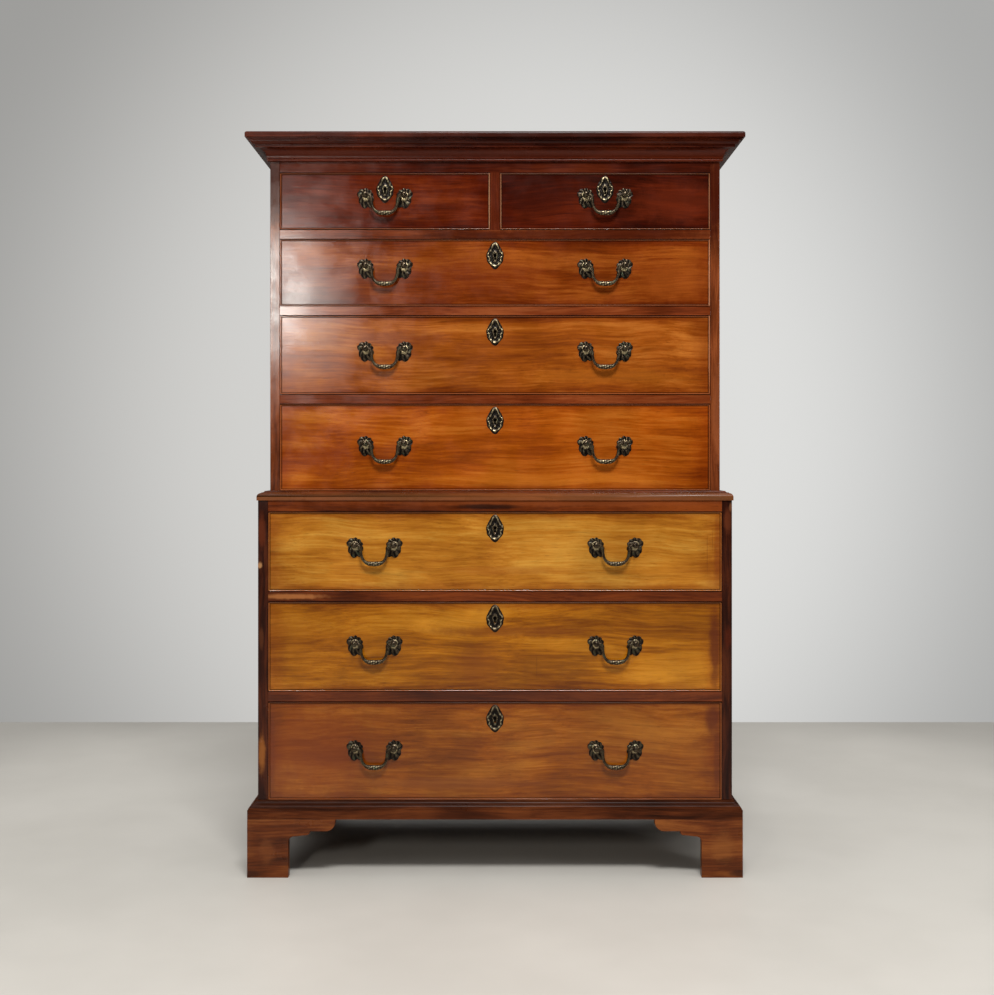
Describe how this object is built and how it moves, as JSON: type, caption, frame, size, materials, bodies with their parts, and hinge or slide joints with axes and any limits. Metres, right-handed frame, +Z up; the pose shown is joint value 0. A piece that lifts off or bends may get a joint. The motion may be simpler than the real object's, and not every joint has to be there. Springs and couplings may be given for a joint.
{
  "type": "chest on chest",
  "caption": "Tall mahogany chest on chest: an upper case of drawers lifts off a wider lower one on bracket feet, with a moulded cornice and brass swan-neck handles.",
  "frame": {"origin": "centre of the outline on the floor, under the feet", "axes": "+Z up, -Y out of the drawer fronts, +X to the right as seen from the front"},
  "size_m": [1.142, 0.566, 1.705],
  "materials": {
    "case_mahogany": "dark red-brown mahogany, old polish",
    "drawer_mahogany": "figured mahogany, polished and faded to golden brown",
    "lining_wood": "bare oak and pine, darkened by age",
    "brass": "cast brass with dark green-brown patina",
    "lock_steel": "dull steel"
  },
  "bodies": {
    "lower_chest": {"lower_sides": "case_mahogany", "lower_boards": "lining_wood", "lower_back": "lining_wood", "lower_rails": "case_mahogany", "waist_moulding": "case_mahogany", "base_moulding": "case_mahogany", "front_bracket_feet": "case_mahogany", "rear_bracket_feet": "case_mahogany", "foot_blocks": "lining_wood"},
    "upper_chest": {"upper_sides": "case_mahogany", "upper_boards": "lining_wood", "upper_back": "lining_wood", "upper_rails": "case_mahogany", "cornice": "case_mahogany"},
    "top_left_drawer": {"top_left_drawer_front": "drawer_mahogany", "top_left_drawer_box": "lining_wood", "top_left_drawer_fittings": "brass"},
    "top_left_drawer_bail": {"top_left_drawer_bail": "brass"},
    "top_left_drawer_lock_bolt": {"top_left_drawer_lock_bolt": "lock_steel"},
    "top_right_drawer": {"top_right_drawer_front": "drawer_mahogany", "top_right_drawer_box": "lining_wood", "top_right_drawer_fittings": "brass"},
    "top_right_drawer_bail": {"top_right_drawer_bail": "brass"},
    "top_right_drawer_lock_bolt": {"top_right_drawer_lock_bolt": "lock_steel"},
    "upper_drawer_2": {"upper_drawer_2_front": "drawer_mahogany", "upper_drawer_2_box": "lining_wood", "upper_drawer_2_fittings": "brass"},
    "upper_drawer_2_left_bail": {"upper_drawer_2_left_bail": "brass"},
    "upper_drawer_2_right_bail": {"upper_drawer_2_right_bail": "brass"},
    "upper_drawer_2_lock_bolt": {"upper_drawer_2_lock_bolt": "lock_steel"},
    "upper_drawer_3": {"upper_drawer_3_front": "drawer_mahogany", "upper_drawer_3_box": "lining_wood", "upper_drawer_3_fittings": "brass"},
    "upper_drawer_3_left_bail": {"upper_drawer_3_left_bail": "brass"},
    "upper_drawer_3_right_bail": {"upper_drawer_3_right_bail": "brass"},
    "upper_drawer_3_lock_bolt": {"upper_drawer_3_lock_bolt": "lock_steel"},
    "upper_drawer_4": {"upper_drawer_4_front": "drawer_mahogany", "upper_drawer_4_box": "lining_wood", "upper_drawer_4_fittings": "brass"},
    "upper_drawer_4_left_bail": {"upper_drawer_4_left_bail": "brass"},
    "upper_drawer_4_right_bail": {"upper_drawer_4_right_bail": "brass"},
    "upper_drawer_4_lock_bolt": {"upper_drawer_4_lock_bolt": "lock_steel"},
    "lower_drawer_1": {"lower_drawer_1_front": "drawer_mahogany", "lower_drawer_1_box": "lining_wood", "lower_drawer_1_fittings": "brass"},
    "lower_drawer_1_left_bail": {"lower_drawer_1_left_bail": "brass"},
    "lower_drawer_1_right_bail": {"lower_drawer_1_right_bail": "brass"},
    "lower_drawer_1_lock_bolt": {"lower_drawer_1_lock_bolt": "lock_steel"},
    "lower_drawer_2": {"lower_drawer_2_front": "drawer_mahogany", "lower_drawer_2_box": "lining_wood", "lower_drawer_2_fittings": "brass"},
    "lower_drawer_2_left_bail": {"lower_drawer_2_left_bail": "brass"},
    "lower_drawer_2_right_bail": {"lower_drawer_2_right_bail": "brass"},
    "lower_drawer_2_lock_bolt": {"lower_drawer_2_lock_bolt": "lock_steel"},
    "lower_drawer_3": {"lower_drawer_3_front": "drawer_mahogany", "lower_drawer_3_box": "lining_wood", "lower_drawer_3_fittings": "brass"},
    "lower_drawer_3_left_bail": {"lower_drawer_3_left_bail": "brass"},
    "lower_drawer_3_right_bail": {"lower_drawer_3_right_bail": "brass"},
    "lower_drawer_3_lock_bolt": {"lower_drawer_3_lock_bolt": "lock_steel"}
  },
  "joints": [
    {"name": "upper_chest_lift", "type": "slide", "parent": "lower_chest", "child": "upper_chest", "axis": [0, 0, 1], "range_m": [0, 0.06]},
    {"name": "top_left_drawer_slide", "type": "slide", "parent": "upper_chest", "child": "top_left_drawer", "axis": [0, -1, 0], "range_m": [0, 0.38]},
    {"name": "top_right_drawer_slide", "type": "slide", "parent": "upper_chest", "child": "top_right_drawer", "axis": [0, -1, 0], "range_m": [0, 0.38]},
    {"name": "upper_drawer_2_slide", "type": "slide", "parent": "upper_chest", "child": "upper_drawer_2", "axis": [0, -1, 0], "range_m": [0, 0.38]},
    {"name": "upper_drawer_3_slide", "type": "slide", "parent": "upper_chest", "child": "upper_drawer_3", "axis": [0, -1, 0], "range_m": [0, 0.38]},
    {"name": "upper_drawer_4_slide", "type": "slide", "parent": "upper_chest", "child": "upper_drawer_4", "axis": [0, -1, 0], "range_m": [0, 0.38]},
    {"name": "lower_drawer_1_slide", "type": "slide", "parent": "lower_chest", "child": "lower_drawer_1", "axis": [0, -1, 0], "range_m": [0, 0.4]},
    {"name": "lower_drawer_2_slide", "type": "slide", "parent": "lower_chest", "child": "lower_drawer_2", "axis": [0, -1, 0], "range_m": [0, 0.4]},
    {"name": "lower_drawer_3_slide", "type": "slide", "parent": "lower_chest", "child": "lower_drawer_3", "axis": [0, -1, 0], "range_m": [0, 0.4]},
    {"name": "top_left_drawer_bail_swing", "type": "hinge", "parent": "top_left_drawer", "child": "top_left_drawer_bail", "pos_m": [-0.255, -0.247, 1.56675], "axis": [-1, 0, 0], "range_deg": [-10, 110]},
    {"name": "top_right_drawer_bail_swing", "type": "hinge", "parent": "top_right_drawer", "child": "top_right_drawer_bail", "pos_m": [0.255, -0.247, 1.56675], "axis": [-1, 0, 0], "range_deg": [-10, 110]},
    {"name": "upper_drawer_2_left_bail_swing", "type": "hinge", "parent": "upper_drawer_2", "child": "upper_drawer_2_left_bail", "pos_m": [-0.255, -0.247, 1.4035], "axis": [-1, 0, 0], "range_deg": [-10, 110]},
    {"name": "upper_drawer_2_right_bail_swing", "type": "hinge", "parent": "upper_drawer_2", "child": "upper_drawer_2_right_bail", "pos_m": [0.255, -0.247, 1.4035], "axis": [-1, 0, 0], "range_deg": [-10, 110]},
    {"name": "upper_drawer_3_left_bail_swing", "type": "hinge", "parent": "upper_drawer_3", "child": "upper_drawer_3_left_bail", "pos_m": [-0.255, -0.247, 1.2115], "axis": [-1, 0, 0], "range_deg": [-10, 110]},
    {"name": "upper_drawer_3_right_bail_swing", "type": "hinge", "parent": "upper_drawer_3", "child": "upper_drawer_3_right_bail", "pos_m": [0.255, -0.247, 1.2115], "axis": [-1, 0, 0], "range_deg": [-10, 110]},
    {"name": "upper_drawer_4_left_bail_swing", "type": "hinge", "parent": "upper_drawer_4", "child": "upper_drawer_4_left_bail", "pos_m": [-0.255, -0.247, 0.9925], "axis": [-1, 0, 0], "range_deg": [-10, 110]},
    {"name": "upper_drawer_4_right_bail_swing", "type": "hinge", "parent": "upper_drawer_4", "child": "upper_drawer_4_right_bail", "pos_m": [0.255, -0.247, 0.9925], "axis": [-1, 0, 0], "range_deg": [-10, 110]},
    {"name": "lower_drawer_1_left_bail_swing", "type": "hinge", "parent": "lower_drawer_1", "child": "lower_drawer_1_left_bail", "pos_m": [-0.277, -0.271, 0.75875], "axis": [-1, 0, 0], "range_deg": [-10, 110]},
    {"name": "lower_drawer_1_right_bail_swing", "type": "hinge", "parent": "lower_drawer_1", "child": "lower_drawer_1_right_bail", "pos_m": [0.277, -0.271, 0.75875], "axis": [-1, 0, 0], "range_deg": [-10, 110]},
    {"name": "lower_drawer_2_left_bail_swing", "type": "hinge", "parent": "lower_drawer_2", "child": "lower_drawer_2_left_bail", "pos_m": [-0.277, -0.271, 0.53325], "axis": [-1, 0, 0], "range_deg": [-10, 110]},
    {"name": "lower_drawer_2_right_bail_swing", "type": "hinge", "parent": "lower_drawer_2", "child": "lower_drawer_2_right_bail", "pos_m": [0.277, -0.271, 0.53325], "axis": [-1, 0, 0], "range_deg": [-10, 110]},
    {"name": "lower_drawer_3_left_bail_swing", "type": "hinge", "parent": "lower_drawer_3", "child": "lower_drawer_3_left_bail", "pos_m": [-0.277, -0.271, 0.2925], "axis": [-1, 0, 0], "range_deg": [-10, 110]},
    {"name": "lower_drawer_3_right_bail_swing", "type": "hinge", "parent": "lower_drawer_3", "child": "lower_drawer_3_right_bail", "pos_m": [0.277, -0.271, 0.2925], "axis": [-1, 0, 0], "range_deg": [-10, 110]},
    {"name": "top_left_drawer_lock", "type": "slide", "parent": "top_left_drawer", "child": "top_left_drawer_lock_bolt", "axis": [0, 0, 1], "range_m": [0, 0.008]},
    {"name": "top_right_drawer_lock", "type": "slide", "parent": "top_right_drawer", "child": "top_right_drawer_lock_bolt", "axis": [0, 0, 1], "range_m": [0, 0.008]},
    {"name": "upper_drawer_2_lock", "type": "slide", "parent": "upper_drawer_2", "child": "upper_drawer_2_lock_bolt", "axis": [0, 0, 1], "range_m": [0, 0.008]},
    {"name": "upper_drawer_3_lock", "type": "slide", "parent": "upper_drawer_3", "child": "upper_drawer_3_lock_bolt", "axis": [0, 0, 1], "range_m": [0, 0.008]},
    {"name": "upper_drawer_4_lock", "type": "slide", "parent": "upper_drawer_4", "child": "upper_drawer_4_lock_bolt", "axis": [0, 0, 1], "range_m": [0, 0.008]},
    {"name": "lower_drawer_1_lock", "type": "slide", "parent": "lower_drawer_1", "child": "lower_drawer_1_lock_bolt", "axis": [0, 0, 1], "range_m": [0, 0.008]},
    {"name": "lower_drawer_2_lock", "type": "slide", "parent": "lower_drawer_2", "child": "lower_drawer_2_lock_bolt", "axis": [0, 0, 1], "range_m": [0, 0.008]},
    {"name": "lower_drawer_3_lock", "type": "slide", "parent": "lower_drawer_3", "child": "lower_drawer_3_lock_bolt", "axis": [0, 0, 1], "range_m": [0, 0.008]}
  ]
}
